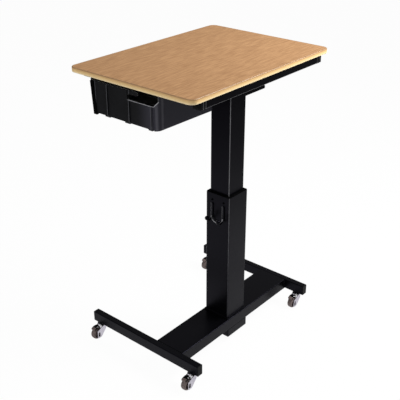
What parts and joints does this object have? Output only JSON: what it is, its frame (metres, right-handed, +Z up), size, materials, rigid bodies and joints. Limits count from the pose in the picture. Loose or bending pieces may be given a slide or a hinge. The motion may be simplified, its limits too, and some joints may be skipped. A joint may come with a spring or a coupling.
{
  "type": "sit-to-stand school desk",
  "caption": "Small worktop with a light edge band on a square telescopic column, with a book box on runners, bag hooks, a release lever and braked swivel casters",
  "frame": {"origin": "on the floor, under the middle of the desk's box", "axes": "+Z is up, +Y points to the side where the pupil sits or stands, and -X is the side on which the book box slides out"},
  "size_m": [0.7298, 0.5152, 1.0465],
  "materials": {
    "laminate": "satin beech laminate on particle board",
    "edge_band": "moulded light beech edge, semi-gloss",
    "black_steel": "satin black powder coat",
    "black_plastic": "matt black",
    "box_plastic": "fine-grained charcoal",
    "chrome": "bright chrome plate",
    "dark_steel": "blackened steel",
    "taupe_rubber": "non-marking taupe rubber",
    "taupe_plastic": "taupe, satin"
  },
  "bodies": {
    "base": {"outer_column": "black_steel", "upper_guide": "black_plastic", "gas_spring_cylinder": "dark_steel", "gas_spring_gland": "chrome", "crossbeam": "black_steel", "column_base_plate": "black_steel", "spring_housing": "black_steel", "left_foot": "black_steel", "right_foot": "black_steel", "left_foot_cap_back": "black_plastic", "left_foot_cap_front": "black_plastic", "right_foot_cap_back": "black_plastic", "right_foot_cap_front": "black_plastic", "left_back_caster_stem": "dark_steel", "left_front_caster_stem": "dark_steel", "right_back_caster_stem": "dark_steel", "right_front_caster_stem": "dark_steel", "front_bag_hook": "black_steel", "back_bag_hook": "black_steel", "front_hook_screw": "dark_steel", "back_hook_screw": "dark_steel"},
    "top": {"worktop_board": "laminate", "worktop_edge_band": "edge_band", "back_rail": "black_steel", "front_rail": "black_steel", "back_rail_cap_left": "black_plastic", "back_rail_cap_right": "black_plastic", "front_rail_cap_left": "black_plastic", "front_rail_cap_right": "black_plastic", "top_arm_left": "black_steel", "top_arm_right": "black_steel", "column_head_plate": "black_steel", "inner_column": "black_steel", "lower_guide": "black_plastic", "gas_spring_rod": "chrome", "rod_nut": "chrome", "spring_head_bracket": "black_steel", "lever_pin": "chrome", "back_box_runner": "black_steel", "front_box_runner": "black_steel"},
    "box": {"book_box": "box_plastic"},
    "lever": {"release_lever": "black_steel"},
    "valve": {"release_pin": "chrome"},
    "left_back_swivel": {"left_back_caster_fork": "chrome", "left_back_caster_axle": "chrome"},
    "left_back_roller": {"left_back_wheel": "taupe_rubber"},
    "left_back_brake": {"left_back_brake_pedal": "taupe_plastic"},
    "left_front_swivel": {"left_front_caster_fork": "chrome", "left_front_caster_axle": "chrome"},
    "left_front_roller": {"left_front_wheel": "taupe_rubber"},
    "left_front_brake": {"left_front_brake_pedal": "taupe_plastic"},
    "right_back_swivel": {"right_back_caster_fork": "chrome", "right_back_caster_axle": "chrome"},
    "right_back_roller": {"right_back_wheel": "taupe_rubber"},
    "right_back_brake": {"right_back_brake_pedal": "taupe_plastic"},
    "right_front_swivel": {"right_front_caster_fork": "chrome", "right_front_caster_axle": "chrome"},
    "right_front_roller": {"right_front_wheel": "taupe_rubber"},
    "right_front_brake": {"right_front_brake_pedal": "taupe_plastic"}
  },
  "joints": [
    {"name": "column_lift", "type": "slide", "parent": "base", "child": "top", "axis": [0, 0, 1], "range_m": [-0.305, 0]},
    {"name": "box_slide", "type": "slide", "parent": "top", "child": "box", "axis": [-1, 0, 0], "range_m": [0, 0.18]},
    {"name": "lever_pivot", "type": "hinge", "parent": "top", "child": "lever", "pos_m": [0.0274, -0.1039, 0.9157], "axis": [0, -1, 0], "range_deg": [0, 6], "stiffness_Nm_per_rad": 3},
    {"name": "valve_slide", "type": "slide", "parent": "top", "child": "valve", "axis": [0, 0, 1], "range_m": [-0.0026, 0]},
    {"name": "left_back_swivel_turn", "type": "hinge", "parent": "base", "child": "left_back_swivel", "pos_m": [-0.3154, -0.2154, 0.05], "axis": [0, 0, 1], "continuous": true},
    {"name": "left_back_roll", "type": "hinge", "parent": "left_back_swivel", "child": "left_back_roller", "pos_m": [-0.3424, -0.2154, 0.0225], "axis": [0, 1, 0], "continuous": true},
    {"name": "left_back_brake_press", "type": "hinge", "parent": "left_back_swivel", "child": "left_back_brake", "pos_m": [-0.33024, -0.2154, 0.04744], "axis": [0, -1, 0], "range_deg": [0, 6]},
    {"name": "left_front_swivel_turn", "type": "hinge", "parent": "base", "child": "left_front_swivel", "pos_m": [-0.3154, 0.2306, 0.05], "axis": [0, 0, 1], "continuous": true},
    {"name": "left_front_roll", "type": "hinge", "parent": "left_front_swivel", "child": "left_front_roller", "pos_m": [-0.3424, 0.2306, 0.0225], "axis": [0, 1, 0], "continuous": true},
    {"name": "left_front_brake_press", "type": "hinge", "parent": "left_front_swivel", "child": "left_front_brake", "pos_m": [-0.33024, 0.2306, 0.04744], "axis": [0, -1, 0], "range_deg": [0, 6]},
    {"name": "right_back_swivel_turn", "type": "hinge", "parent": "base", "child": "right_back_swivel", "pos_m": [0.3262, -0.2154, 0.05], "axis": [0, 0, 1], "continuous": true},
    {"name": "right_back_roll", "type": "hinge", "parent": "right_back_swivel", "child": "right_back_roller", "pos_m": [0.2992, -0.2154, 0.0225], "axis": [0, 1, 0], "continuous": true},
    {"name": "right_back_brake_press", "type": "hinge", "parent": "right_back_swivel", "child": "right_back_brake", "pos_m": [0.31137, -0.2154, 0.04744], "axis": [0, -1, 0], "range_deg": [0, 6]},
    {"name": "right_front_swivel_turn", "type": "hinge", "parent": "base", "child": "right_front_swivel", "pos_m": [0.3262, 0.2306, 0.05], "axis": [0, 0, 1], "continuous": true},
    {"name": "right_front_roll", "type": "hinge", "parent": "right_front_swivel", "child": "right_front_roller", "pos_m": [0.2992, 0.2306, 0.0225], "axis": [0, 1, 0], "continuous": true},
    {"name": "right_front_brake_press", "type": "hinge", "parent": "right_front_swivel", "child": "right_front_brake", "pos_m": [0.31137, 0.2306, 0.04744], "axis": [0, -1, 0], "range_deg": [0, 6]}
  ],
  "couplings": [
    {"joint": "valve_slide", "follows": "lever_pivot", "m_per_rad": -0.024}
  ]
}
